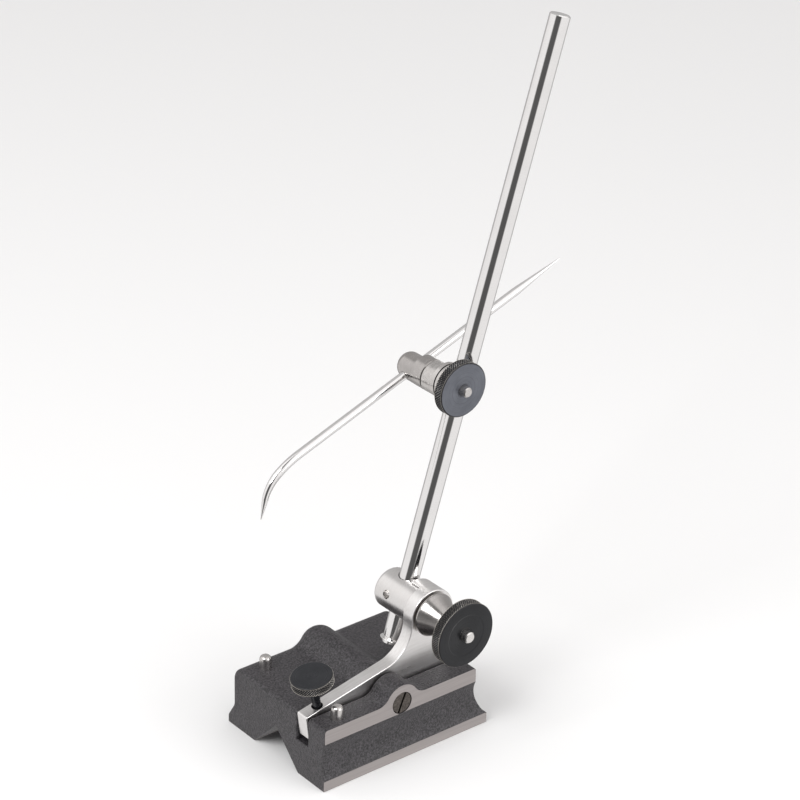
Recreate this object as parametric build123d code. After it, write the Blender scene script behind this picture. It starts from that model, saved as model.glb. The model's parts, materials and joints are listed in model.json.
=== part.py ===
from build123d import *
import os
from math import cos, radians, sin

# Universal surface gauge (scribing block). Millimetres, +Z up.
# Origin: half way along the V-groove of the base, on the surface the gauge stands on.
# +X runs along the base away from the fine adjusting screw; -Y is the side of the clamp nuts.

# ---- base casting ----
BASE_LENGTH = 95.25
HALF_LENGTH = BASE_LENGTH / 2
HALF_WIDTH = 35.8
BASE_TOP = 32.3
STRIP_LOW = 5.0               # ground strip at the foot reaches up to here
STRIP_HIGH = 25.0             # second ground strip starts here
WAIST_DEPTH = 2.4             # painted side is hollow between the two strips
LEFT_FOOT = 37.6              # the left foot spreads out to here
LEFT_FOOT_HEIGHT = 3.4
LEFT_FOOT_ROUND = 2.6
LEFT_WAIST = 32.9             # the left side above its foot
LEFT_WAIST_Z = 11.0
LEFT_WAIST_ROUND = 6.0
FAR_TOP_X = 40.3              # the far end curves in above its foot to here
FAR_CURVE_TOP = 24.5
FAR_STEP = 0.7                # ledge where the ground foot strip stands proud of the curve
V_DEPTH = 16.6                # 90 degree V along the bottom
END_V_DEPTH = 9.0             # upright 90 degree V in the far end
EDGE_LEFT = 7.0
EDGE_RIGHT = 0.5
EDGE_ENDS = 1.8
SLOT_EDGE = 1.2               # rounding of the slot's right edge
SLOT_LIP = 0.5                # chamfer of the slot floor at the near end
HUMP_RADIUS = 9.5             # boss round the rocker's pivot
HUMP_FILLET = 7.0
ABOVE_BASE = 45.0             # a height above everything on the casting

# ---- rocker and its pivot ----
PIVOT_X = -3.45
PIVOT_Z = 30.2
PIVOT_RADIUS = 3.175
PIVOT_HEAD_RADIUS = 5.35
PIVOT_HEAD_THICKNESS = 2.2
PIVOT_RECESS = 0.2            # head below the ground face
PIVOT_SHANK_END = -3.5
PIVOT_SLOT = 1.1
PIVOT_SLOT_LEAN = 68.0        # degrees of the screwdriver slot from +X
ROCKER_RIGHT = -22.7
ROCKER_LEFT = -16.2
ROCKER_Y = (ROCKER_RIGHT + ROCKER_LEFT) / 2
SLOT_GAP = 0.5                # each side of the rocker
SLOT_FLOOR = 17.3
SLOT_END_X = 36.5
NOSE_X = -47.9
NOSE_SLANT = 1.6              # the end face leans in towards its foot
NOSE_ROUND = 0.9
NOSE_TOP = 32.5
NOSE_BOTTOM = 20.8
ROCKER_SLOPE = 0.2            # rise of the straight upper edge
ROCKER_BEND = 17.3            # radius where that edge turns up to the eye
WEB_BOTTOM = 22.2
WEB_CORNER = 3.0
ROCKER_ROUND = 0.5

# ---- swivel head at the rocker's eye ----
HEAD_X = 22.7
HEAD_Z = 62.0
HEAD_RADIUS = 9.8
EYE_SHIFT_X = 1.3             # centre of the eye's outline from the head's axis
EYE_SHIFT_Z = -1.2
EYE_RADIUS = 11.9
HOOD_INNER = 10.1             # lip of the eye that hoods the sleeve
HOOD_Y = -10.2
HOOD_FROM = 15.0              # degrees from +X
HOOD_TO = 98.0
SLEEVE_RIGHT = -16.1
SLEEVE_LEFT = 7.0
SLEEVE_BORE = 6.0
SLEEVE_BORE_END = 3.5
EYE_BOLT_RADIUS = 5.9
EYE_BOLT_RIGHT = -10.0
EYE_BOLT_LEFT = 3.3
SHANK_RADIUS = 2.75
SHANK_BORE = 2.85
CROSS_HOLE_Y = -2.0           # spare scriber hole through the sleeve
CROSS_HOLE_RADIUS = 2.15
WASHER_RADIUS = 8.4
WASHER_RIGHT = -24.9
CONE_LEFT = -24.95
CONE_LIP = -25.7
CONE_NECK = -34.6
CONE_RIGHT = -42.25
CONE_LARGE = 10.6
CONE_SMALL = 6.0
NUT_BACK = -42.3
NUT_FACE = -47.9
NUT_RADIUS = 15.9
NUT_RING = 10.0               # radius of the shallow groove turned in the face
BOLT_TIP = -50.7

# ---- spindle ----
SPINDLE_RADIUS = 4.7625       # 3/8 inch
SPINDLE_Y = -3.8
SPINDLE_LEAN = 16.6           # degrees from upright, towards +X
SPINDLE_TOP = 275.8           # along the spindle from the head's axis
SPINDLE_FOOT = -23.3
STOP_RING_RADIUS = 6.0
STOP_RING_HEIGHT = 1.8
STOP_SEAT_RADIUS = 4.0
NECK_RADIUS = 4.3
NECK_HEIGHT = 0.6

# ---- snug, the clamp that carries the scriber ----
SNUG_AT = 104.9               # along the spindle from the head's axis
SNUG_OFFSET = 8.0             # snug bolt axis from the spindle axis
SNUG_BARREL = 7.5
SNUG_FLANGE = 8.7
SNUG_BOSS = 6.4
SNUG_BOSS_HALF = 6.4
SNUG_RIGHT = -9.2
SNUG_FLANGE_LEFT = -0.9
SNUG_LEFT = 7.4
PINCH_SLIT = 0.8
RING_RADIUS = 7.2
RING_RIGHT = 7.45
SCRIBER_SLEEVE_RIGHT = 8.0
SCRIBER_SLEEVE_STEP = 15.0
SCRIBER_SLEEVE_LEFT = 28.3
TAIL_RADIUS = 6.4             # the sleeve's tail is thinner and hangs a little lower
TAIL_DROP = 1.3
TAIL_ROUND = 4.0
SLEEVE_SHIFT = 2.0            # sleeve centre below the bolt axis, so bolt and scriber lie side by side
SNUG_BOLT_RADIUS = 2.415
SNUG_BOLT_TIP = -17.6
SNUG_BOLT_LEFT = 26.0
SNUG_NUT_RADIUS = 13.1
SNUG_NUT_BACK = -9.25
SNUG_NUT_FACE = -14.3

# ---- scriber ----
SCRIBER_RADIUS = 1.95
SCRIBER_Y = 21.4
SCRIBER_SHIFT = 3.4           # scriber axis below the snug bolt axis
SCRIBER_RISE = 20.0           # degrees above level, towards +X
SCRIBER_RIGHT = 91.2          # straight tip, along the scriber from the bolt axis
STRAIGHT_TAPER = 28.0
SCRIBER_LEFT = 70.0           # where the bend starts, the other way
BEND_RADII = (43.0, 19.0)
BEND_TURNS = (18.0, 38.0)     # degrees turned on each radius
BEND_END_RADIUS = 1.45        # half thickness where the bent point begins
POINT_LENGTH = 9.5
TIP_RADIUS = 0.2

# ---- adjusting screw, gauge pins and rocker spring ----
SCREW_X = -39.3               # where the screw's axis meets the rocker's upper edge
SCREW_RADIUS = 2.0
SCREW_HEAD_RADIUS = 9.85
SCREW_HEAD_LOW = 13.0
SCREW_HEAD_HIGH = 17.7
SCREW_HEAD_CHAMFER = 0.6
SCREW_TIP_Z = 17.35
SCREW_HOLE_TOP = 2.75         # the hole flares so that the rocker can tilt round the screw
SCREW_HOLE_BOTTOM = 2.15
PIN_RADIUS = 2.8
PIN_PLACES = {"gauge_pin_left": (-36.8, 22.5), "gauge_pin_right": (-36.2, -30.0)}
PIN_TOP = 38.7
PIN_BOTTOM = 0.5
PIN_ROUND = 1.9
SPRING_X = 20.0
SPRING_FLOOR = 9.0
SPRING_TOP = 25.2
COIL_RADIUS = 2.5
WIRE_RADIUS = 0.45
SPRING_TURNS = 9
POCKET_RADIUS = 3.6

FIT = 0.05                    # radial clearance of a shaft or screw in its hole
SMALL_CHAMFER = 0.5

# ---- directions and places worked out from the above ----
LEAN = radians(SPINDLE_LEAN)
UP_SPINDLE = Vector(sin(LEAN), 0, cos(LEAN))
OFF_SPINDLE = Vector(-cos(LEAN), 0, sin(LEAN))
RISE = radians(SCRIBER_RISE)
ALONG_SCRIBER = Vector(cos(RISE), 0, sin(RISE))
BELOW_SCRIBER = Vector(sin(RISE), 0, -cos(RISE))
UP_SCREW = Vector(-ROCKER_SLOPE, 0, 1).normalized()
TO_LEFT = Vector(0, 1, 0)

HEAD = Vector(HEAD_X, 0, HEAD_Z)
EYE = HEAD + Vector(EYE_SHIFT_X, 0, EYE_SHIFT_Z)
PIVOT = Vector(PIVOT_X, 0, PIVOT_Z)
SPINDLE = HEAD + TO_LEFT * SPINDLE_Y
SNUG = HEAD + UP_SPINDLE * SNUG_AT + OFF_SPINDLE * SNUG_OFFSET
SNUG_SLEEVE = SNUG + BELOW_SCRIBER * SLEEVE_SHIFT
TAIL = SNUG_SLEEVE - Vector(0, 0, TAIL_DROP)
SCRIBER = SNUG + BELOW_SCRIBER * SCRIBER_SHIFT + TO_LEFT * SCRIBER_Y
SCREW = Vector(SCREW_X, ROCKER_Y, NOSE_TOP + ROCKER_SLOPE * (SCREW_X - NOSE_X))
SPRING = Vector(SPRING_X, ROCKER_Y, 0)
UP = Vector(0, 0, 1)


def rod(start, direction, low, high, radius):
    """Cylinder along direction, from low to high measured from start."""
    place = Plane(origin=start + direction * low, z_dir=direction)
    return extrude(place * Circle(radius), high - low)


def cone(start, direction, low, high, low_radius, high_radius):
    """Truncated cone along direction, from low to high measured from start."""
    place = Plane(origin=start + direction * low, z_dir=direction)
    centred = (Align.CENTER, Align.CENTER, Align.MIN)
    return place * Cone(low_radius, high_radius, high - low, align=centred)


def slab(x_low, x_high, y_low, y_high, z_low, z_high):
    """Box between two corners."""
    middle = Pos((x_low + x_high) / 2, (y_low + y_high) / 2, (z_low + z_high) / 2)
    return middle * Box(x_high - x_low, y_high - y_low, z_high - z_low)


def side_plate(outline, y_low, y_high):
    """Solid from a sketch whose axes are X and Z, between two values of y."""
    plane = Plane(origin=(0, y_high, 0), x_dir=(1, 0, 0), z_dir=(0, -1, 0))
    return extrude(plane * outline, y_high - y_low)


def end_plate(outline, x_low, x_high):
    """Solid from a sketch whose axes are Y and Z, between two values of x."""
    plane = Plane(origin=(x_low, 0, 0), x_dir=(0, 1, 0), z_dir=(1, 0, 0))
    return extrude(plane * outline, x_high - x_low)


def edges_in(shape, low, high):
    """Edges whose middle lies in the box between two corners."""
    def inside(edge):
        middle = edge.position_at(0.5)
        return all(a < v < b for a, v, b in zip(low, (middle.X, middle.Y, middle.Z), high))
    return shape.edges().filter_by(inside)


def corners_at(outline, places):
    """Vertices of a sketch at the given places."""
    def near(vertex):
        return any(abs(vertex.X - x) + abs(vertex.Y - z) < 0.01 for x, z in places)
    return outline.vertices().filter_by(near)


def end_circles(shape, along, low, high):
    """Round edges whose centre lies between low and high along a direction."""
    def inside(edge):
        return low < edge.arc_center.dot(along) < high
    return shape.edges().filter_by(GeomType.CIRCLE).filter_by(inside)


def base_side():
    """Side outline: square near end, hump over the pivot, far end curved in above its foot."""
    ledge = (HALF_LENGTH - FAR_STEP, STRIP_LOW)
    outline = make_face(Curve() + [
        Line((-HALF_LENGTH, 0), (-HALF_LENGTH, BASE_TOP)),
        Line((-HALF_LENGTH, BASE_TOP), (FAR_TOP_X, BASE_TOP)),
        Line((FAR_TOP_X, BASE_TOP), (FAR_TOP_X, FAR_CURVE_TOP)),
        TangentArc((FAR_TOP_X, FAR_CURVE_TOP), ledge, tangent=(0, -1)),
        Line(ledge, (HALF_LENGTH, STRIP_LOW)),
        Line((HALF_LENGTH, STRIP_LOW), (HALF_LENGTH, 0)),
        Line((HALF_LENGTH, 0), (-HALF_LENGTH, 0)),
    ])
    outline += Pos(PIVOT_X, PIVOT_Z) * Circle(HUMP_RADIUS)
    reach = (HUMP_RADIUS**2 - (BASE_TOP - PIVOT_Z)**2) ** 0.5
    toes = [(PIVOT_X - reach, BASE_TOP), (PIVOT_X + reach, BASE_TOP)]
    return fillet(corners_at(outline, toes), HUMP_FILLET)


def base_section():
    """End outline: two ground strips with a hollow between them on the right, one foot on the left."""
    foot = (LEFT_FOOT, LEFT_FOOT_HEIGHT)
    waist = (LEFT_WAIST, LEFT_WAIST_Z)
    deepest = (WAIST_DEPTH - HALF_WIDTH, (STRIP_LOW + STRIP_HIGH) / 2)
    outline = make_face(Curve() + [
        Line((LEFT_FOOT, 0), (-HALF_WIDTH, 0)),
        Line((-HALF_WIDTH, 0), (-HALF_WIDTH, STRIP_LOW)),
        ThreePointArc((-HALF_WIDTH, STRIP_LOW), deepest, (-HALF_WIDTH, STRIP_HIGH)),
        Line((-HALF_WIDTH, STRIP_HIGH), (-HALF_WIDTH, ABOVE_BASE)),
        Line((-HALF_WIDTH, ABOVE_BASE), (LEFT_WAIST, ABOVE_BASE)),
        Line((LEFT_WAIST, ABOVE_BASE), waist),
        Line(waist, foot),
        Line(foot, (LEFT_FOOT, 0)),
    ])
    outline = fillet(corners_at(outline, [foot]), LEFT_FOOT_ROUND)
    return fillet(corners_at(outline, [waist]), LEFT_WAIST_ROUND)


def rounded_base():
    """The casting before its grooves, slot and holes are cut."""
    block = side_plate(base_side(), -HALF_WIDTH, LEFT_FOOT)
    block &= end_plate(base_section(), -HALF_LENGTH, HALF_LENGTH)
    top = BASE_TOP - 0.1
    left = edges_in(block, (-HALF_LENGTH, LEFT_WAIST - 1, top), (FAR_TOP_X, LEFT_FOOT, ABOVE_BASE))
    block = fillet(left, EDGE_LEFT)
    for x in (-HALF_LENGTH, FAR_TOP_X):
        ends = edges_in(block, (x - 0.1, -HALF_WIDTH, top), (x + 0.1, LEFT_WAIST, BASE_TOP + 0.1))
        block = fillet(ends, EDGE_ENDS)
    low = (-HALF_LENGTH, -HALF_WIDTH - 0.1, top)
    right = edges_in(block, low, (FAR_TOP_X, 0.1 - HALF_WIDTH, ABOVE_BASE))
    return fillet(right, EDGE_RIGHT)


def base_casting():
    """Cast base with its V-grooves, rocker slot, pivot hole, spring pocket and pin bores."""
    base = rounded_base()
    groove = make_face(Polyline((-V_DEPTH, 0), (0, V_DEPTH), (V_DEPTH, 0), close=True))
    base -= end_plate(groove, -HALF_LENGTH - 1, HALF_LENGTH + 1)
    upright = Polyline((HALF_LENGTH, -END_V_DEPTH), (HALF_LENGTH - END_V_DEPTH, 0),
                       (HALF_LENGTH, END_V_DEPTH), close=True)
    base -= extrude(Plane.XY * make_face(upright), ABOVE_BASE)
    slot_right = ROCKER_RIGHT - SLOT_GAP
    slot_left = ROCKER_LEFT + SLOT_GAP
    half_slot = (slot_left - slot_right) / 2
    slot_far = SLOT_END_X - half_slot
    base -= slab(-HALF_LENGTH - 1, slot_far, slot_right, slot_left, SLOT_FLOOR, ABOVE_BASE)
    base -= rod(Vector(slot_far, ROCKER_Y, 0), UP, SLOT_FLOOR, ABOVE_BASE, half_slot)
    base = round_slot(base, slot_right, slot_far)
    seat = -HALF_WIDTH + PIVOT_RECESS + PIVOT_HEAD_THICKNESS
    base -= rod(PIVOT, TO_LEFT, -HALF_WIDTH - 1, seat, PIVOT_HEAD_RADIUS + 3 * FIT)
    base -= rod(PIVOT, TO_LEFT, seat, PIVOT_SHANK_END + 1, PIVOT_RADIUS + FIT)
    base -= rod(SPRING, UP, SPRING_FLOOR, SLOT_FLOOR, POCKET_RADIUS)
    for x, y in PIN_PLACES.values():
        base -= rod(Vector(x, y, 0), UP, -1, ABOVE_BASE, PIN_RADIUS + FIT)
    return base


def round_slot(base, slot_right, slot_far):
    """Round the slot's right edge along the top and break the edge of its floor at the near end."""
    low = (-HALF_LENGTH - 0.1, slot_right - 0.1, BASE_TOP - EDGE_ENDS)
    edge = edges_in(base, low, (slot_far, slot_right + 0.1, ABOVE_BASE))
    base = fillet(edge, SLOT_EDGE)
    low = (-HALF_LENGTH - 0.1, slot_right, SLOT_FLOOR - 0.1)
    lip = edges_in(base, low, (0.1 - HALF_LENGTH, 0, SLOT_FLOOR + 0.1))
    return chamfer(lip, SLOT_LIP)


def rocker_side():
    """Side outline: tapered arm with a straight upper edge, a round bend and the eye."""
    eye_left = EYE.X - EYE_RADIUS
    web_right = HEAD_X + HEAD_RADIUS
    bend_x = eye_left - ROCKER_BEND
    under_bend = NOSE_TOP + ROCKER_SLOPE * (bend_x - NOSE_X)
    bend_z = under_bend + ROCKER_BEND / UP_SCREW.Z
    bend_start = (bend_x - ROCKER_BEND * UP_SCREW.X, bend_z - ROCKER_BEND * UP_SCREW.Z)
    bend_end = (eye_left, bend_z)
    outline = make_face(Curve() + [
        Line((NOSE_X + NOSE_SLANT, NOSE_BOTTOM), (NOSE_X, NOSE_TOP)),
        Line((NOSE_X, NOSE_TOP), bend_start),
        TangentArc(bend_start, bend_end, tangent=(UP_SCREW.Z, -UP_SCREW.X)),
        Line(bend_end, (eye_left, EYE.Z)),
        Line((eye_left, EYE.Z), (web_right, EYE.Z)),
        Line((web_right, EYE.Z), (web_right, WEB_BOTTOM)),
        Line((web_right, WEB_BOTTOM), (NOSE_X + NOSE_SLANT, NOSE_BOTTOM)),
    ])
    outline = fillet(corners_at(outline, [(web_right, WEB_BOTTOM)]), WEB_CORNER)
    outline = fillet(corners_at(outline, [(NOSE_X, NOSE_TOP)]), NOSE_ROUND)
    return outline + Pos(EYE.X, EYE.Z) * Circle(EYE_RADIUS)


def rocker_bracket():
    """Steel arm with rounded right edges; a lip of the eye hoods the sleeve behind it."""
    arm = side_plate(rocker_side(), ROCKER_RIGHT, ROCKER_LEFT)
    rim = edges_in(arm, (NOSE_X - 1, ROCKER_RIGHT - 0.1, 0), (HEAD_X + 20, ROCKER_RIGHT + 0.1, 90))
    arm = fillet(rim, ROCKER_ROUND)
    hood = rod(EYE, TO_LEFT, ROCKER_LEFT - 1, HOOD_Y, EYE_RADIUS)
    hood -= rod(HEAD, TO_LEFT, ROCKER_LEFT - 2, HOOD_Y + 1, HOOD_INNER)
    sector = [(HEAD_X, HEAD_Z)]
    for angle in (HOOD_FROM, (HOOD_FROM + HOOD_TO) / 2, HOOD_TO):
        turn = radians(angle)
        sector.append((HEAD_X + 3 * EYE_RADIUS * cos(turn), HEAD_Z + 3 * EYE_RADIUS * sin(turn)))
    hood &= side_plate(make_face(Polyline(*sector, close=True)), ROCKER_LEFT - 2, HOOD_Y)
    arm += hood
    arm -= rod(PIVOT, TO_LEFT, ROCKER_RIGHT - 1, ROCKER_LEFT + 1, PIVOT_RADIUS + FIT)
    arm -= rod(HEAD, TO_LEFT, ROCKER_RIGHT - 1, ROCKER_LEFT + 1, SHANK_RADIUS + FIT)
    depth = (NOSE_TOP - NOSE_BOTTOM) + 3
    arm -= cone(SCREW, UP_SCREW, -depth, 1, SCREW_HOLE_BOTTOM, SCREW_HOLE_TOP)
    arm -= rod(SPRING, UP, SLOT_FLOOR, SPRING_TOP + FIT, POCKET_RADIUS)
    return arm


def pivot_screw():
    """Slotted screw that the rocker turns on."""
    head_right = -HALF_WIDTH + PIVOT_RECESS
    seat = head_right + PIVOT_HEAD_THICKNESS
    screw = rod(PIVOT, TO_LEFT, head_right, seat, PIVOT_HEAD_RADIUS)
    screw = chamfer(end_circles(screw, TO_LEFT, head_right - 0.1, head_right + 0.1), 0.3)
    screw += rod(PIVOT, TO_LEFT, seat, PIVOT_SHANK_END, PIVOT_RADIUS)
    cut = Box(3 * PIVOT_HEAD_RADIUS, 2 * PIVOT_SLOT, PIVOT_SLOT)
    return screw - Pos(PIVOT_X, head_right, PIVOT_Z) * Rot(0, -PIVOT_SLOT_LEAN, 0) * cut


def rocker_spring():
    """Compression spring under the rocker, which keeps the adjusting screw on its seat."""
    rise = SPRING_TOP - SPRING_FLOOR - 2 * WIRE_RADIUS
    path = Helix(rise / SPRING_TURNS, rise, COIL_RADIUS)
    path = Pos(SPRING_X, ROCKER_Y, SPRING_FLOOR + WIRE_RADIUS) * path
    section = Plane(origin=path @ 0, z_dir=path % 0) * Circle(WIRE_RADIUS)
    return sweep(section, path=path, is_frenet=True)


def adjusting_screw():
    """Knurled thumbscrew through the rocker's nose; its round tip stands on the slot's floor."""
    tip = (SCREW_TIP_Z - SCREW.Z) / UP_SCREW.Z
    head = rod(SCREW, UP_SCREW, SCREW_HEAD_LOW, SCREW_HEAD_HIGH, SCREW_HEAD_RADIUS)
    head = chamfer(head.edges().filter_by(GeomType.CIRCLE), SCREW_HEAD_CHAMFER)
    shank = rod(SCREW, UP_SCREW, tip + SCREW_RADIUS, SCREW_HEAD_LOW + 1, SCREW_RADIUS)
    ball = Pos(*(SCREW + UP_SCREW * (tip + SCREW_RADIUS))) * Sphere(SCREW_RADIUS)
    return head + shank + ball


def gauge_pin(x, y):
    """Friction pin with a domed head."""
    pin = rod(Vector(x, y, 0), UP, PIN_BOTTOM, PIN_TOP, PIN_RADIUS)
    pin = fillet(end_circles(pin, UP, PIN_TOP - 0.1, PIN_TOP + 0.1), PIN_ROUND)
    return chamfer(end_circles(pin, UP, PIN_BOTTOM - 0.1, PIN_BOTTOM + 0.1), SMALL_CHAMFER)


def swivel_sleeve():
    """Sleeve behind the eye, bored for the eye bolt, the spindle and a spare scriber hole."""
    sleeve = rod(HEAD, TO_LEFT, SLEEVE_RIGHT, SLEEVE_LEFT, HEAD_RADIUS)
    sleeve = fillet(end_circles(sleeve, TO_LEFT, SLEEVE_LEFT - 0.1, SLEEVE_LEFT + 0.1), 1.8)
    sleeve = chamfer(end_circles(sleeve, TO_LEFT, SLEEVE_RIGHT - 0.1, SLEEVE_RIGHT + 0.1), 0.25)
    sleeve -= rod(HEAD, TO_LEFT, SLEEVE_RIGHT - 1, SLEEVE_BORE_END, SLEEVE_BORE)
    sleeve -= rod(SPINDLE, UP_SPINDLE, -20, 20, SPINDLE_RADIUS + 0.3)
    cross = HEAD + TO_LEFT * CROSS_HOLE_Y
    return sleeve - rod(cross, OFF_SPINDLE, -20, 20, CROSS_HOLE_RADIUS)


def swivel_bolt():
    """Eye bolt: the spindle passes through its thick end and pulls sleeve and eye together."""
    bolt = rod(HEAD, TO_LEFT, EYE_BOLT_RIGHT, EYE_BOLT_LEFT, EYE_BOLT_RADIUS)
    bolt += rod(HEAD, TO_LEFT, BOLT_TIP, EYE_BOLT_RIGHT, SHANK_RADIUS)
    bolt = chamfer(end_circles(bolt, TO_LEFT, BOLT_TIP - 0.1, BOLT_TIP + 0.1), SMALL_CHAMFER)
    bolt -= rod(SPINDLE, UP_SPINDLE, -20, 20, SPINDLE_RADIUS + FIT)
    cross = HEAD + TO_LEFT * CROSS_HOLE_Y
    return bolt - rod(cross, OFF_SPINDLE, -20, 20, CROSS_HOLE_RADIUS)


def swivel_friction_washer():
    """Thin washer between the eye and the cone."""
    washer = rod(HEAD, TO_LEFT, WASHER_RIGHT, ROCKER_RIGHT - FIT, WASHER_RADIUS)
    return washer - rod(HEAD, TO_LEFT, WASHER_RIGHT - 1, ROCKER_RIGHT + 1, SHANK_BORE)


def swivel_cone_washer():
    """Turned cone between the eye and the nut, with a lip at its large end and a neck to the nut."""
    turned = rod(HEAD, TO_LEFT, CONE_LIP, CONE_LEFT, CONE_LARGE)
    turned += cone(HEAD, TO_LEFT, CONE_NECK, CONE_LIP, CONE_SMALL, CONE_LARGE - 0.1)
    turned += rod(HEAD, TO_LEFT, CONE_RIGHT, CONE_NECK, CONE_SMALL)
    return turned - rod(HEAD, TO_LEFT, CONE_RIGHT - 1, CONE_LEFT + 1, SHANK_BORE)


def swivel_nut():
    """Large round nut with a ring turned in its face."""
    nut = rod(HEAD, TO_LEFT, NUT_FACE, NUT_BACK, NUT_RADIUS)
    nut = chamfer(nut.edges().filter_by(GeomType.CIRCLE), SMALL_CHAMFER)
    ring = rod(HEAD, TO_LEFT, NUT_FACE - 1, NUT_FACE + 0.25, NUT_RING + 0.3)
    ring -= rod(HEAD, TO_LEFT, NUT_FACE - 2, NUT_FACE + 1, NUT_RING - 0.3)
    nut -= ring
    return nut - rod(HEAD, TO_LEFT, NUT_FACE - 1, NUT_BACK + 1, SHANK_RADIUS + FIT)


def spindle():
    """Ground rod, necked and stepped at the foot for the stop ring."""
    seat = SPINDLE_FOOT + STOP_RING_HEIGHT
    bar = rod(SPINDLE, UP_SPINDLE, seat + NECK_HEIGHT, SPINDLE_TOP, SPINDLE_RADIUS)
    bar = chamfer(bar.edges().filter_by(GeomType.CIRCLE), SMALL_CHAMFER)
    bar += rod(SPINDLE, UP_SPINDLE, seat, seat + 2 * NECK_HEIGHT, NECK_RADIUS)
    return bar + rod(SPINDLE, UP_SPINDLE, SPINDLE_FOOT, seat, STOP_SEAT_RADIUS)


def spindle_stop_ring():
    """Collar that keeps the spindle from being drawn up out of the head."""
    ring = rod(SPINDLE, UP_SPINDLE, SPINDLE_FOOT, SPINDLE_FOOT + STOP_RING_HEIGHT, STOP_RING_RADIUS)
    ring = chamfer(ring.edges().filter_by(GeomType.CIRCLE), 0.3)
    return ring - rod(SPINDLE, UP_SPINDLE, SPINDLE_FOOT - 1, 0, STOP_SEAT_RADIUS + FIT)


def snug_body():
    """Clamp on the spindle: a boss round the rod, pinched by the snug bolt across a slit."""
    at_spindle = SPINDLE + UP_SPINDLE * SNUG_AT
    boss = rod(at_spindle, UP_SPINDLE, -SNUG_BOSS_HALF, SNUG_BOSS_HALF, SNUG_BOSS)
    boss = chamfer(boss.edges().filter_by(GeomType.CIRCLE), SMALL_CHAMFER)
    boss -= rod(SNUG, TO_LEFT, SNUG_RIGHT - 10, SNUG_RIGHT, 3 * SNUG_FLANGE)
    flange = rod(SNUG, TO_LEFT, SNUG_RIGHT, SNUG_FLANGE_LEFT, SNUG_FLANGE)
    flange = chamfer(flange.edges().filter_by(GeomType.CIRCLE), SMALL_CHAMFER)
    body = boss + flange + rod(SNUG_SLEEVE, TO_LEFT, SNUG_FLANGE_LEFT - 1, SNUG_LEFT, SNUG_BARREL)
    body -= rod(at_spindle, UP_SPINDLE, -20, 20, SPINDLE_RADIUS + FIT)
    body -= rod(SNUG, TO_LEFT, SNUG_RIGHT - 1, SNUG_LEFT + 1, SNUG_BOLT_RADIUS + FIT)
    slit_plane = Plane(origin=at_spindle, x_dir=OFF_SPINDLE, z_dir=UP_SPINDLE)
    slit = Box(30, PINCH_SLIT, 40, align=(Align.MIN, Align.CENTER, Align.CENTER))
    return body - slit_plane * slit


def snug_friction_ring():
    """Ring between the clamp and the scriber sleeve."""
    ring = rod(SNUG_SLEEVE, TO_LEFT, RING_RIGHT, SCRIBER_SLEEVE_RIGHT, RING_RADIUS)
    return ring - rod(SNUG, TO_LEFT, RING_RIGHT - 1, SCRIBER_SLEEVE_RIGHT + 1, SNUG_BOLT_RADIUS + FIT)


def scriber_sleeve():
    """Sleeve round the snug bolt; its thinner tail is cross drilled for the scriber."""
    inner = rod(SNUG_SLEEVE, TO_LEFT, SCRIBER_SLEEVE_RIGHT, SCRIBER_SLEEVE_STEP, SNUG_BARREL)
    inner = chamfer(inner.edges().filter_by(GeomType.CIRCLE), 0.3)
    tail = rod(TAIL, TO_LEFT, SCRIBER_SLEEVE_STEP - 1, SCRIBER_SLEEVE_LEFT, TAIL_RADIUS)
    low = SCRIBER_SLEEVE_LEFT - 0.1
    tail = fillet(end_circles(tail, TO_LEFT, low, low + 1), TAIL_ROUND)
    sleeve = inner + tail
    sleeve -= rod(SNUG, TO_LEFT, SCRIBER_SLEEVE_RIGHT - 1, SNUG_BOLT_LEFT, SNUG_BOLT_RADIUS + FIT)
    return sleeve - rod(SCRIBER, ALONG_SCRIBER, -20, 20, SCRIBER_RADIUS + 2 * FIT)


def snug_bolt():
    """Bolt along the snug, notched where the scriber passes it."""
    bolt = rod(SNUG, TO_LEFT, SNUG_BOLT_TIP, SNUG_BOLT_LEFT, SNUG_BOLT_RADIUS)
    bolt = chamfer(bolt.edges().filter_by(GeomType.CIRCLE), SMALL_CHAMFER)
    return bolt - rod(SCRIBER, ALONG_SCRIBER, -20, 20, SCRIBER_RADIUS + FIT)


def snug_nut():
    """Round nut of the snug."""
    nut = rod(SNUG, TO_LEFT, SNUG_NUT_FACE, SNUG_NUT_BACK, SNUG_NUT_RADIUS)
    nut = chamfer(nut.edges().filter_by(GeomType.CIRCLE), SMALL_CHAMFER)
    return nut - rod(SNUG, TO_LEFT, SNUG_NUT_FACE - 1, SNUG_NUT_BACK + 1, SNUG_BOLT_RADIUS + FIT)


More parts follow.
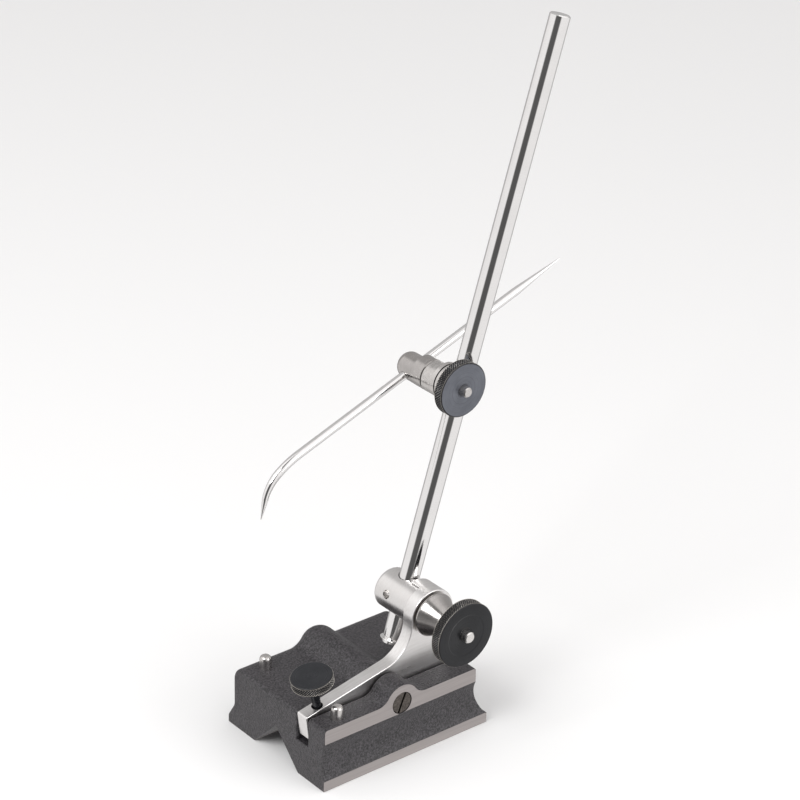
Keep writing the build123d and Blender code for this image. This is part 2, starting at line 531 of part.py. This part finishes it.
def scriber():
    """Scriber with a long straight point one way and a bent, shorter point the other."""
    taper_start = SCRIBER_RIGHT - STRAIGHT_TAPER
    wire = rod(SCRIBER, ALONG_SCRIBER, -SCRIBER_LEFT, taper_start, SCRIBER_RADIUS)
    wire += cone(SCRIBER, ALONG_SCRIBER, taper_start, SCRIBER_RIGHT, SCRIBER_RADIUS, TIP_RADIUS)
    place = SCRIBER - ALONG_SCRIBER * SCRIBER_LEFT
    heading = 180.0 + SCRIBER_RISE
    radius = SCRIBER_RADIUS
    for bend, turn in zip(BEND_RADII, BEND_TURNS):
        end_radius = BEND_END_RADIUS if bend == BEND_RADII[-1] else SCRIBER_RADIUS
        toward = radians(heading + 90)
        centre = Vector(place.X + bend * cos(toward), place.Z + bend * sin(toward))
        arc = Plane.XZ * CenterArc((centre.X, centre.Y), bend, heading - 90, turn)
        arc = Pos(0, place.Y, 0) * arc
        ends = (Plane(origin=arc @ 0, z_dir=arc % 0) * Circle(radius),
                Plane(origin=arc @ 1, z_dir=arc % 1) * Circle(end_radius))
        wire += sweep(ends, path=arc, multisection=True)
        place = arc @ 1
        heading += turn
        radius = end_radius
    last = Vector(cos(radians(heading)), 0, sin(radians(heading)))
    return wire + cone(place, last, 0, POINT_LENGTH, radius, TIP_RADIUS)


def main():
    parts = {
        "base_casting": base_casting(),
        "rocker_bracket": rocker_bracket(),
        "pivot_screw": pivot_screw(),
        "rocker_spring": rocker_spring(),
        "adjusting_screw": adjusting_screw(),
        "swivel_sleeve": swivel_sleeve(),
        "swivel_bolt": swivel_bolt(),
        "swivel_friction_washer": swivel_friction_washer(),
        "swivel_cone_washer": swivel_cone_washer(),
        "swivel_nut": swivel_nut(),
        "spindle": spindle(),
        "spindle_stop_ring": spindle_stop_ring(),
        "snug_body": snug_body(),
        "snug_friction_ring": snug_friction_ring(),
        "scriber_sleeve": scriber_sleeve(),
        "snug_bolt": snug_bolt(),
        "snug_nut": snug_nut(),
        "scriber": scriber(),
    }
    for name, (x, y) in PIN_PLACES.items():
        parts[name] = gauge_pin(x, y)
    os.makedirs("parts", exist_ok=True)
    for name, shape in parts.items():
        export_step(shape, f"parts/{name}.step")


main()
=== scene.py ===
import json
import math

import bpy
from mathutils import Matrix, Vector


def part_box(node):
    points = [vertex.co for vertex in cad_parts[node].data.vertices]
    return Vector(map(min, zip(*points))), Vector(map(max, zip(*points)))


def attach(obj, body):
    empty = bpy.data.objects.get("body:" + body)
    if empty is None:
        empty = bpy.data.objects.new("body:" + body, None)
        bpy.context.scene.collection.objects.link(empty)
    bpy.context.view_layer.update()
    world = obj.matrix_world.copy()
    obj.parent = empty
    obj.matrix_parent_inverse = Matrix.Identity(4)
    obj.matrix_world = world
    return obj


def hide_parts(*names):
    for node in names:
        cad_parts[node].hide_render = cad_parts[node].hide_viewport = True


# Looks of a universal surface gauge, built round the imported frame. Metres, +Z up; -Y is the side
# of the clamp nuts and +X runs away from the adjusting screw.

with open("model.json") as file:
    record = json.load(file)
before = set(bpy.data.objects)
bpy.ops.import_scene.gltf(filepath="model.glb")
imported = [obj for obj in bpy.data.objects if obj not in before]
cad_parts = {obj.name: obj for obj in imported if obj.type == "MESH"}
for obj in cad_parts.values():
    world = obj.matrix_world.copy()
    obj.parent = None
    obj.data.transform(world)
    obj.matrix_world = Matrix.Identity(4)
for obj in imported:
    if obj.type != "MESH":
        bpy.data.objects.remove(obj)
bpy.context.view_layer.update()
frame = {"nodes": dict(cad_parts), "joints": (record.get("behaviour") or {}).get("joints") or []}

MM = 0.001
JOINTS = {joint["name"]: joint for joint in frame["joints"]}
NODES = frame["nodes"]


# ---------------------------------------------------------------- camera, light and floor

CAMERA_PLACE = Vector((-0.726928, -0.903627, 0.76504))
CAMERA_TARGET = Vector((0.020239, 0.0, 0.16166))
CAMERA_ROLL = 0.026
CAMERA_LENS = 133.9

# Darker parts of the tent: towards x and y, half width in degrees, shade inside.
TENT_GAPS = (((-0.81, -0.586), 34.0, 0.11), ((0.637, 0.771), 62.0, 0.52))
GAP_SOFTNESS = 0.72
WORLD_STRENGTH = 1.0
FLOOR_REACH = 6.0
FLOOR_DROP = 0.0002

# Turned pieces, in millimetres: bores, shank and head as the CAD has them, and the knurls' depths.
SWIVEL_NUT_BORE = 2.8
SWIVEL_NUT_EDGE = 0.5
FACE_RING_OUTER = 10.4
FACE_RING_INNER = 9.9
SNUG_NUT_BORE = 2.46
SNUG_NUT_EDGE = 0.4
SCREW_SHANK = 2.0
SCREW_HEAD_LOW = 13.0
SCREW_HEAD_HIGH = 17.7
SCREW_EDGE = 0.6
SCREW_PITCH = 0.79375
THREAD_DEPTH = 0.28
COARSE_KNURL = 0.42
FINE_KNURL = 0.38

# Diamonds round each rim.
SWIVEL_NUT_DIAMONDS = 80
SNUG_NUT_DIAMONDS = 64
SCREW_DIAMONDS = 50

# Light and dark tones of the steels.
LIGHT_STEEL = (0.72, 0.70, 0.685, 1)
DARK_STEEL = (0.52, 0.50, 0.485, 1)
TURNED_LIGHT = (0.60, 0.575, 0.56, 1)
TURNED_DARK = (0.33, 0.315, 0.305, 1)
TURNED_ROUGH = (0.15, 0.28)
ROD_LIGHT = (0.90, 0.89, 0.885, 1)
ROD_DARK = (0.80, 0.79, 0.785, 1)
# Bare steel for the knurls' rubbed crests and chamfer edges: real wear, and on the chamfers also a
# painted highlight of the lit edge.
WORN_AND_HIGHLIGHT_STEEL = (0.66, 0.62, 0.57, 1)
BLACK_RIM = (0.013, 0.013, 0.015, 1)


def add_camera():
    """Camera at the viewing angle of the reference."""
    forward = (CAMERA_TARGET - CAMERA_PLACE).normalized()
    right = forward.cross(Vector((0, 0, 1))).normalized()
    up = right.cross(forward)
    across = right * math.cos(CAMERA_ROLL) + up * math.sin(CAMERA_ROLL)
    above = up * math.cos(CAMERA_ROLL) - right * math.sin(CAMERA_ROLL)
    data = bpy.data.cameras.new("camera")
    data.lens = CAMERA_LENS
    data.clip_end = 20.0
    camera = bpy.data.objects.new("camera", data)
    turn = Matrix((across, above, -forward)).transposed().to_4x4()
    camera.matrix_world = Matrix.Translation(CAMERA_PLACE) @ turn
    bpy.context.scene.collection.objects.link(camera)
    bpy.context.scene.camera = camera


def add_softbox(name, place, size, power, target=Vector((0.02, 0, 0.12))):
    """Large area light aimed at the gauge."""
    data = bpy.data.lights.new(name, "AREA")
    data.shape = "RECTANGLE"
    data.size, data.size_y = size
    data.energy = power
    light = bpy.data.objects.new(name, data)
    light.location = place
    light.rotation_euler = (target - Vector(place)).to_track_quat("-Z", "Y").to_euler()
    bpy.context.scene.collection.objects.link(light)


def add_world():
    """White tent with darker parts in front and behind, so that round steel shows its stripes."""
    world = bpy.data.worlds.new("tent")
    world.use_nodes = True
    tree = Tree(world.node_tree)
    tree.nodes.clear()
    direction = tree.node("ShaderNodeTexCoord").outputs["Generated"]
    flat = tree.node("ShaderNodeVectorMath", operation="MULTIPLY")
    tree.link(direction, flat.inputs[0])
    flat.inputs[1].default_value = (1, 1, 0)
    level = tree.node("ShaderNodeVectorMath", operation="NORMALIZE")
    tree.link(flat.outputs[0], level.inputs[0])
    height = tree.node("ShaderNodeSeparateXYZ")
    tree.link(direction, height.inputs[0])
    shade = tree.span(height.outputs["Z"], 0.0, 0.9, 0.92, 1.15)
    for towards, half_width, dark in TENT_GAPS:
        facing = tree.node("ShaderNodeVectorMath", operation="DOT_PRODUCT")
        tree.link(level.outputs[0], facing.inputs[0])
        facing.inputs[1].default_value = Vector((towards[0], towards[1], 0)).normalized()
        edge = math.cos(math.radians(half_width))
        inside = math.cos(math.radians(half_width * GAP_SOFTNESS))
        openness = tree.span(facing.outputs["Value"], edge, inside, 1.0, dark)
        shade = tree.math("MULTIPLY", shade, openness)
    colour = tree.node("ShaderNodeCombineColor")
    for channel, tint in zip(("Red", "Green", "Blue"), (1.0, 0.985, 0.98)):
        tree.link(tree.math("MULTIPLY", shade, tint), colour.inputs[channel])
    rays = tree.node("ShaderNodeLightPath").outputs["Is Camera Ray"]
    seen = tree.mix(rays, colour.outputs[0], (1, 1, 1, 1))
    background = tree.node("ShaderNodeBackground")
    background.inputs["Strength"].default_value = WORLD_STRENGTH
    tree.link(seen, background.inputs["Color"])
    output = tree.node("ShaderNodeOutputWorld")
    tree.link(background.outputs[0], output.inputs["Surface"])
    bpy.context.scene.world = world


def add_floor():
    """Plain pale floor; mirror reflections see the tent instead of it."""
    mesh = bpy.data.meshes.new("floor")
    reach = FLOOR_REACH
    mesh.from_pydata([(-reach, -reach, 0), (reach, -reach, 0), (reach, reach, 0), (-reach, reach, 0)],
                     [], [(0, 1, 2, 3)])
    floor = bpy.data.objects.new("floor", mesh)
    floor.location.z = -FLOOR_DROP
    floor.visible_glossy = False
    material = bpy.data.materials.new("floor_white")
    material.use_nodes = True
    shader = material.node_tree.nodes["Principled BSDF"]
    shader.inputs["Base Color"].default_value = (0.86, 0.86, 0.86, 1)
    shader.inputs["Roughness"].default_value = 0.9
    shader.inputs["Specular IOR Level"].default_value = 0.1
    mesh.materials.append(material)
    bpy.context.scene.collection.objects.link(floor)


# ---------------------------------------------------------------- node tree helper

class Tree:
    """Shorthand for building a node tree."""

    def __init__(self, node_tree):
        self.nodes = node_tree.nodes
        self.links = node_tree.links

    def node(self, kind, **settings):
        """Add a node with the given settings."""
        made = self.nodes.new(kind)
        for name, value in settings.items():
            setattr(made, name, value)
        return made

    def link(self, source, target):
        self.links.new(source, target)

    def feed(self, socket, value):
        """Connect a socket to another one, or set it to a constant."""
        if isinstance(value, bpy.types.NodeSocket):
            self.link(value, socket)
        else:
            socket.default_value = value

    def math(self, operation, first, second=0.0, clamp=False):
        made = self.node("ShaderNodeMath", operation=operation, use_clamp=clamp)
        self.feed(made.inputs[0], first)
        self.feed(made.inputs[1], second)
        return made.outputs[0]

    def span(self, value, low, high, to_low=0.0, to_high=1.0):
        """Map low..high to to_low..to_high, held at both ends."""
        made = self.node("ShaderNodeMapRange")
        self.feed(made.inputs["Value"], value)
        made.inputs["From Min"].default_value = low
        made.inputs["From Max"].default_value = high
        made.inputs["To Min"].default_value = to_low
        made.inputs["To Max"].default_value = to_high
        return made.outputs["Result"]

    def mix(self, factor, first, second):
        made = self.node("ShaderNodeMix", data_type="RGBA")
        self.feed(made.inputs["Factor"], factor)
        self.feed(made.inputs[6], first)
        self.feed(made.inputs[7], second)
        return made.outputs[2]

    def place(self):
        return self.node("ShaderNodeTexCoord").outputs["Object"]

    def axes(self, vector):
        made = self.node("ShaderNodeSeparateXYZ")
        self.link(vector, made.inputs[0])
        return made.outputs[0], made.outputs[1], made.outputs[2]

    def stretch(self, vector, scale):
        made = self.node("ShaderNodeMapping")
        self.link(vector, made.inputs["Vector"])
        made.inputs["Scale"].default_value = scale
        return made.outputs[0]

    def noise(self, vector, scale, detail=2.0, roughness=0.5):
        made = self.node("ShaderNodeTexNoise")
        self.link(vector, made.inputs["Vector"])
        made.inputs["Scale"].default_value = scale
        made.inputs["Detail"].default_value = detail
        made.inputs["Roughness"].default_value = roughness
        return made.outputs["Fac"]

    def bump(self, height, strength, distance):
        """Normals from a height, in metres of depth."""
        made = self.node("ShaderNodeBump")
        made.inputs["Strength"].default_value = strength
        made.inputs["Distance"].default_value = distance
        self.link(height, made.inputs["Height"])
        return made.outputs[0]


def new_material(name, roughness=0.4, metallic=1.0):
    """Material with a fresh tree; returns the material, its tree and its shader."""
    material = bpy.data.materials.new(name)
    material.use_nodes = True
    tree = Tree(material.node_tree)
    shader = tree.nodes["Principled BSDF"]
    shader.inputs["Roughness"].default_value = roughness
    shader.inputs["Metallic"].default_value = metallic
    return material, tree, shader


# ---------------------------------------------------------------- materials

def axis_radius(tree, place, centre, axis):
    """Distance of a point from an axis through centre, and its height along it."""
    offset = tree.node("ShaderNodeVectorMath", operation="SUBTRACT")
    tree.link(place, offset.inputs[0])
    offset.inputs[1].default_value = centre
    along = tree.node("ShaderNodeVectorMath", operation="DOT_PRODUCT")
    tree.link(offset.outputs[0], along.inputs[0])
    along.inputs[1].default_value = axis
    flat = tree.node("ShaderNodeVectorMath", operation="CROSS_PRODUCT")
    tree.link(offset.outputs[0], flat.inputs[0])
    flat.inputs[1].default_value = axis
    length = tree.node("ShaderNodeVectorMath", operation="LENGTH")
    tree.link(flat.outputs[0], length.inputs[0])
    return length.outputs["Value"], along.outputs["Value"]


def line_noise(tree, value, scale, detail=3.0):
    """Noise that changes along one value only, like the marks of a lathe tool."""
    made = tree.node("ShaderNodeTexNoise", noise_dimensions="1D")
    tree.link(value, made.inputs["W"])
    made.inputs["Scale"].default_value = scale
    made.inputs["Detail"].default_value = detail
    return made.outputs["Fac"]


def crinkle_paint():
    """Charcoal crinkle paint; the right side's strips and the underside are ground bare."""
    material, tree, shader = new_material("crinkle_paint")
    place = tree.place()
    _, y, z = tree.axes(place)
    low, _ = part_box("base_casting")
    strip = tree.span(y, low[1] + 0.10 * MM, low[1] + 0.03 * MM)
    feet = tree.span(z, 0.05 * MM, 0.02 * MM)
    bare = tree.math("MAXIMUM", strip, feet)
    lumps = tree.noise(place, 1150.0, 2.5, 0.6)
    grains = tree.node("ShaderNodeTexVoronoi", feature="SMOOTH_F1")
    tree.link(place, grains.inputs["Vector"])
    grains.inputs["Scale"].default_value = 1600.0
    crinkle = tree.math("ADD", lumps, tree.math("MULTIPLY", grains.outputs["Distance"], 0.55))
    brushed = tree.noise(tree.stretch(place, (40.0, 1800.0, 1800.0)), 1.0, 4.0, 0.6)
    valley = (0.008, 0.0073, 0.0084, 1)
    ridge = (0.070, 0.064, 0.071, 1)
    paint_colour = tree.mix(tree.span(lumps, 0.38, 0.66), valley, ridge)
    steel_colour = tree.mix(brushed, (0.30, 0.275, 0.27, 1), (0.50, 0.465, 0.455, 1))
    tree.link(tree.mix(bare, paint_colour, steel_colour), shader.inputs["Base Color"])
    tree.link(bare, shader.inputs["Metallic"])
    paint_rough = tree.span(lumps, 0.3, 0.75, 0.34, 0.50)
    steel_rough = tree.span(brushed, 0.3, 0.7, 0.34, 0.5)
    rough = tree.node("ShaderNodeMix", data_type="FLOAT")
    tree.feed(rough.inputs["Factor"], bare)
    tree.link(paint_rough, rough.inputs[2])
    tree.link(steel_rough, rough.inputs[3])
    tree.link(rough.outputs[0], shader.inputs["Roughness"])
    painted = tree.math("SUBTRACT", 1.0, bare)
    height = tree.math("ADD", tree.math("MULTIPLY", crinkle, painted),
                       tree.math("MULTIPLY", tree.math("MULTIPLY", brushed, 0.05), bare))
    tree.link(tree.bump(height, 0.9, 0.00035), shader.inputs["Normal"])
    return material


def satin_steel(name, grain, light=LIGHT_STEEL, dark=DARK_STEEL, rough=(0.22, 0.36)):
    """Ground steel with a grain stretched along one axis."""
    material, tree, shader = new_material(name)
    place = tree.place()
    marks = tree.noise(tree.stretch(place, grain), 1.0, 5.0, 0.62)
    clouds = tree.noise(place, 90.0, 3.0)
    tone = tree.math("ADD", tree.math("MULTIPLY", marks, 0.6), tree.math("MULTIPLY", clouds, 0.4))
    tree.link(tree.mix(tree.span(tone, 0.3, 0.7), dark, light), shader.inputs["Base Color"])
    tree.link(tree.span(tone, 0.3, 0.7, rough[0], rough[1]), shader.inputs["Roughness"])
    tree.link(tree.bump(marks, 0.12, 0.00004), shader.inputs["Normal"])
    return material


def turned_steel(name, centre, axis, light, dark, rough=(0.2, 0.36)):
    """Lathe-turned steel: fine rings round an axis."""
    material, tree, shader = new_material(name)
    place = tree.place()
    radius, along = axis_radius(tree, place, centre, axis)
    rings = line_noise(tree, tree.math("ADD", radius, along), 5200.0)
    clouds = tree.noise(place, 110.0, 3.0)
    tone = tree.math("ADD", tree.math("MULTIPLY", rings, 0.65), tree.math("MULTIPLY", clouds, 0.35))
    tree.link(tree.mix(tree.span(tone, 0.32, 0.68), dark, light), shader.inputs["Base Color"])
    tree.link(tree.span(tone, 0.3, 0.7, rough[0], rough[1]), shader.inputs["Roughness"])
    tree.link(tree.bump(rings, 0.16, 0.00004), shader.inputs["Normal"])
    return material


def black_oxide(name, centre, axis, rim_radius, face_colour, crest_depth, turned_about):
    """Blackened steel: rings turned in the faces, a darker rim, and bare metal on the knurl's crests and
    the chamfers' outer edges, which is wear and also a painted highlight of the lit edge.

    face_colour is a dark and a light tone, crest_depth how deep the bare metal of wear and painted
    highlight goes in millimetres, and turned_about the axis that the faces' sheen runs round.
    """
    material, tree, shader = new_material(name, metallic=0.0)
    place = tree.place()
    radius, along = axis_radius(tree, place, centre, axis)
    rings = line_noise(tree, tree.math("ADD", radius, along), 3600.0)
    clouds = tree.noise(place, 260.0, 4.0)
    scratches = tree.noise(place, 2600.0, 2.0)
    # Bare steel on the crests and the chamfers' outer edges: wear, and also a painted highlight standing
    # in for the lit chamfer edge.
    worn_and_highlight = tree.span(radius, rim_radius - crest_depth * MM, rim_radius - 0.03 * MM)
    worn_and_highlight = tree.math("MULTIPLY", worn_and_highlight, tree.span(scratches, 0.25, 0.6, 0.45, 1.0), clamp=True)
    black = tree.mix(tree.math("MULTIPLY", rings, clouds), face_colour[0], face_colour[1])
    rim = tree.span(radius, rim_radius - 0.7 * MM, rim_radius - 0.5 * MM)
    black = tree.mix(rim, black, BLACK_RIM)
    tree.link(tree.mix(worn_and_highlight, black, WORN_AND_HIGHLIGHT_STEEL), shader.inputs["Base Color"])
    tree.link(tree.span(worn_and_highlight, 0.0, 1.0, 0.35, 1.0), shader.inputs["Metallic"])
    tree.link(tree.span(rings, 0.3, 0.7, 0.27, 0.42), shader.inputs["Roughness"])
    tree.link(tree.bump(rings, 0.22, 0.00004), shader.inputs["Normal"])
    shader.inputs["Anisotropic"].default_value = 0.75
    around = tree.node("ShaderNodeTangent", direction_type="RADIAL", axis=turned_about)
    tree.link(around.outputs[0], shader.inputs["Tangent"])
    return material


def dark_steel():
    """Oiled dark steel of the pivot screw and the hidden washers."""
    material, tree, shader = new_material("dark_steel")
    place = tree.place()
    marks = tree.noise(place, 900.0, 4.0, 0.6)
    oiled = tree.mix(tree.span(marks, 0.35, 0.7), (0.055, 0.048, 0.043, 1), (0.17, 0.15, 0.135, 1))
    tree.link(oiled, shader.inputs["Base Color"])
    tree.link(tree.span(marks, 0.3, 0.7, 0.3, 0.5), shader.inputs["Roughness"])
    tree.link(tree.bump(marks, 0.2, 0.00005), shader.inputs["Normal"])
    return material


# ---------------------------------------------------------------- turned pieces with knurled rims

def smooth_profile(points, radius, steps=3):
    """Profile with its inner corners rounded by small arcs."""
    rounded = [points[0]]
    for before, here, after in zip(points, points[1:], points[2:]):
        a = Vector(before) - Vector(here)
        b = Vector(after) - Vector(here)
        cut = min(radius, 0.45 * a.length, 0.45 * b.length)
        start = Vector(here) + a.normalized() * cut
        end = Vector(here) + b.normalized() * cut
        for step in range(steps + 1):
            t = step / steps
            point = start.lerp(Vector(here), t).lerp(Vector(here).lerp(end, t), t)
            rounded.append((point.x, point.y))
    rounded.append(points[-1])
    return rounded


def knurl_rings(radius, low, high, rows, depth):
    """Rings of a diamond knurl: radius at each lattice point, valleys and peaks in turn."""
    rings = []
    for row in range(rows + 1):
        t = low + (high - low) * row / rows
        edge = 0.45 if row in (0, rows) else 1.0
        rings.append((t, radius, depth * edge, row % 2))
    return rings


def turned_piece(name, before, knurl, after, place, axis, count):
    """Mesh of revolution: profile before the knurl, the knurl's lattice, profile after it.

    Profiles are lists of (radius, height) along the axis; count is the number of diamonds round the
    rim, and every ring has twice as many points, so that the lattice's creases follow its grooves.
    """
    points = 2 * count
    rings = []
    for radius, height in before:
        rings.append([(radius, height)] * points)
    for height, radius, depth, odd in knurl:
        rings.append([(radius if (i + odd) % 2 else radius - depth, height) for i in range(points)])
    for radius, height in after:
        rings.append([(radius, height)] * points)
    turn = Vector((0, 0, 1)).rotation_difference(axis).to_matrix().to_4x4()
    stand = Matrix.Translation(place) @ turn
    vertices = []
    for ring in rings:
        for i, (radius, height) in enumerate(ring):
            angle = 2 * math.pi * i / points
            local = Vector((radius * math.cos(angle), radius * math.sin(angle), height))
            vertices.append(stand @ local)
    first = len(before)
    last = first + len(knurl) - 1
    faces = []
    creased = []
    for level in range(len(rings) - 1):
        for i in range(points):
            a = level * points + i
            b = level * points + (i + 1) % points
            c = b + points
            d = a + points
            if first <= level < last:
                odd = knurl[level - first][3]
                valley_at_a = (i + odd) % 2 == 0
                faces += [(a, b, c), (a, c, d)] if valley_at_a else [(a, b, d), (b, c, d)]
                creased += [True, True]
            else:
                faces.append((a, b, c, d))
                creased.append(False)
    closed_low = tuple(reversed(range(points)))
    closed_high = tuple(range((len(rings) - 1) * points, len(rings) * points))
    faces += [closed_low, closed_high]
    creased += [True, True]
    mesh = bpy.data.meshes.new(name)
    mesh.from_pydata(vertices, [], faces)
    for face, flat in zip(mesh.polygons, creased):
        face.use_smooth = not flat
    mesh.update()
    piece = bpy.data.objects.new(name, mesh)
    bpy.context.scene.collection.objects.link(piece)
    return piece


def finish_piece(piece, body, material, node=None):
    """Give a new piece its material and its body, and hide the CAD node that it stands for."""
    piece.data.materials.append(material)
    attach(piece, body)
    if node:
        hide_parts(node)


def add_swivel_nut():
    """Large clamp nut: knurled rim, and a face dished inside a shallow ring."""
    low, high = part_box("swivel_nut")
    centre = Vector(JOINTS["swivel_nut_turn"]["pos_m"])
    radius = (high[0] - low[0]) / 2
    thick = high[1] - low[1]
    bore = SWIVEL_NUT_BORE * MM
    edge = SWIVEL_NUT_EDGE * MM
    before = smooth_profile([(bore, 0), (radius - edge, 0), (radius, edge)], 0.3 * MM)
    face = [(radius, thick - edge), (radius - edge, thick), (FACE_RING_OUTER * MM, thick),
            (FACE_RING_INNER * MM, thick - 0.18 * MM), (bore + 1.0 * MM, thick - 0.2 * MM),
            (bore, thick - 0.7 * MM)]
    after = smooth_profile(face, 0.3 * MM)
    knurl = knurl_rings(radius, 1.1 * edge, thick - 1.1 * edge, 8, COARSE_KNURL * MM)
    axis = Vector((0, -1, 0))
    place = Vector((centre.x, high[1], centre.z))
    piece = turned_piece("knurled_swivel_nut", before, knurl, after, place, axis, SWIVEL_NUT_DIAMONDS)
    colours = ((0.0065, 0.007, 0.0085, 1), (0.020, 0.021, 0.025, 1))
    material = black_oxide("oxide_swivel_nut", centre, axis, radius, colours, 0.17, "Y")
    finish_piece(piece, "swivel_nut", material, "swivel_nut")


def add_snug_nut():
    """Smaller clamp nut with a plainly turned face."""
    low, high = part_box("snug_nut")
    centre = Vector(JOINTS["snug_nut_turn"]["pos_m"])
    radius = (high[0] - low[0]) / 2
    thick = high[1] - low[1]
    bore = SNUG_NUT_BORE * MM
    edge = SNUG_NUT_EDGE * MM
    before = smooth_profile([(bore, 0), (radius - edge, 0), (radius, edge)], 0.25 * MM)
    face = [(radius, thick - edge), (radius - edge, thick), (bore + 0.7 * MM, thick),
            (bore, thick - 0.6 * MM)]
    after = smooth_profile(face, 0.25 * MM)
    knurl = knurl_rings(radius, 1.1 * edge, thick - 1.1 * edge, 6, FINE_KNURL * MM)
    axis = Vector((0, -1, 0))
    place = Vector((centre.x, high[1], centre.z))
    piece = turned_piece("knurled_snug_nut", before, knurl, after, place, axis, SNUG_NUT_DIAMONDS)
    colours = ((0.085, 0.092, 0.110, 1), (0.21, 0.22, 0.25, 1))
    material = black_oxide("oxide_snug_nut", centre, axis, radius, colours, 0.10, "Y")
    finish_piece(piece, "snug_nut", material, "snug_nut")


def add_adjusting_screw():
    """Thumbscrew: round tip, threaded shank and a thin knurled head."""
    joint = JOINTS["adjusting_screw_turn"]
    top = Vector(joint["pos_m"])
    axis = Vector(joint["axis"]).normalized()
    low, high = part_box("adjusting_screw")
    radius = (high[1] - low[1]) / 2
    shank = SCREW_SHANK * MM
    head_low = SCREW_HEAD_LOW * MM
    head_high = SCREW_HEAD_HIGH * MM
    tip = (low[2] - top.z) / axis.z
    edge = SCREW_EDGE * MM
    before = [(0.02 * MM, tip), (0.9 * MM, tip + 0.25 * MM), (1.6 * MM, tip + 0.9 * MM)]
    height = tip + 2.0 * MM
    while height < head_low - 1.6 * MM:
        before += [(shank - THREAD_DEPTH * MM, height), (shank, height + 0.4 * MM)]
        height += SCREW_PITCH * MM
    before += [(shank - 0.2 * MM, head_low - 0.9 * MM)]
    under = [(shank, head_low - 0.5 * MM), (shank, head_low), (radius - edge, head_low),
             (radius, head_low + edge)]
    before += smooth_profile(under, 0.3 * MM)
    face = [(radius, head_high - edge), (radius - edge, head_high),
            (0.5 * radius, head_high - 0.02 * MM), (0.02 * MM, head_high - 0.02 * MM)]
    after = smooth_profile(face, 0.3 * MM)
    knurl = knurl_rings(radius, head_low + 1.1 * edge, head_high - 1.1 * edge, 6, COARSE_KNURL * MM)
    piece = turned_piece("knurled_adjusting_screw", before, knurl, after, top, axis, SCREW_DIAMONDS)
    colours = ((0.013, 0.014, 0.017, 1), (0.045, 0.047, 0.053, 1))
    material = black_oxide("oxide_adjusting_screw", top, axis, radius, colours, 0.20, "Z")
    finish_piece(piece, "adjusting_screw", material, "adjusting_screw")


# ---------------------------------------------------------------- CAD nodes keep their shape

def paint_node(name, material):
    """Every material slot of a CAD node gets this material."""
    mesh = NODES[name].data
    if not mesh.materials:
        mesh.materials.append(material)
    for index in range(len(mesh.materials)):
        mesh.materials[index] = material


def paint_nodes():
    """Steel and paint for the pieces that keep their CAD shape."""
    head = Vector(JOINTS["swivel_nut_turn"]["pos_m"])
    snug = Vector(JOINTS["scriber_swing"]["pos_m"])
    across = Vector((0, 1, 0))
    rod = Vector(JOINTS["snug_slide"]["axis"])
    along_scriber = Vector(JOINTS["scriber_slide"]["axis"])
    bright = turned_steel("bright_steel", head, across, (0.80, 0.78, 0.76, 1), LIGHT_STEEL)
    at_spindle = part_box("spindle_stop_ring")
    foot = (Vector(at_spindle[0]) + Vector(at_spindle[1])) / 2
    polished = turned_steel("polished_rod", foot, rod, ROD_LIGHT, ROD_DARK, (0.07, 0.13))
    turned = turned_steel("turned_cone", head, across, TURNED_LIGHT, TURNED_DARK, TURNED_ROUGH)
    sleeve = turned_steel("turned_scriber_sleeve", snug, across, TURNED_LIGHT, TURNED_DARK, TURNED_ROUGH)
    needle = turned_steel("polished_scriber", snug, along_scriber, ROD_LIGHT, ROD_DARK, (0.09, 0.16))
    paint_node("base_casting", crinkle_paint())
    arm = satin_steel("satin_bracket", (60.0, 1600.0, 900.0), ROD_LIGHT, LIGHT_STEEL, (0.26, 0.38))
    paint_node("rocker_bracket", arm)
    paint_node("pivot_screw", dark_steel())
    paint_node("rocker_spring", satin_steel("spring_wire", (400.0, 400.0, 1500.0)))
    paint_node("swivel_sleeve", turned_steel("turned_sleeve", head, across, ROD_DARK, LIGHT_STEEL))
    paint_node("swivel_cone_washer", turned)
    paint_node("swivel_bolt", bright)
    paint_node("swivel_friction_washer", NODES["pivot_screw"].data.materials[0])
    paint_node("spindle", polished)
    paint_node("spindle_stop_ring", polished)
    paint_node("snug_body", satin_steel("satin_snug", (700.0, 700.0, 700.0)))
    paint_node("snug_friction_ring", NODES["pivot_screw"].data.materials[0])
    paint_node("scriber_sleeve", sleeve)
    paint_node("snug_bolt", turned_steel("bright_snug_bolt", snug, across, LIGHT_STEEL, DARK_STEEL))
    paint_node("scriber", needle)
    for name in ("gauge_pin_left", "gauge_pin_right"):
        low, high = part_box(name)
        centre = (Vector(low) + Vector(high)) / 2
        upright = Vector((0, 0, 1))
        paint_node(name, turned_steel("bright_" + name, centre, upright, LIGHT_STEEL, DARK_STEEL))


add_camera()
add_world()
add_floor()
add_softbox("key", (-1.1, -0.2, 1.3), (0.9, 0.9), 16.0)
add_softbox("fill", (0.6, -1.4, 0.7), (1.0, 0.8), 7.0)
bpy.context.scene.view_settings.view_transform = "Standard"
paint_nodes()
add_swivel_nut()
add_snug_nut()
add_adjusting_screw()
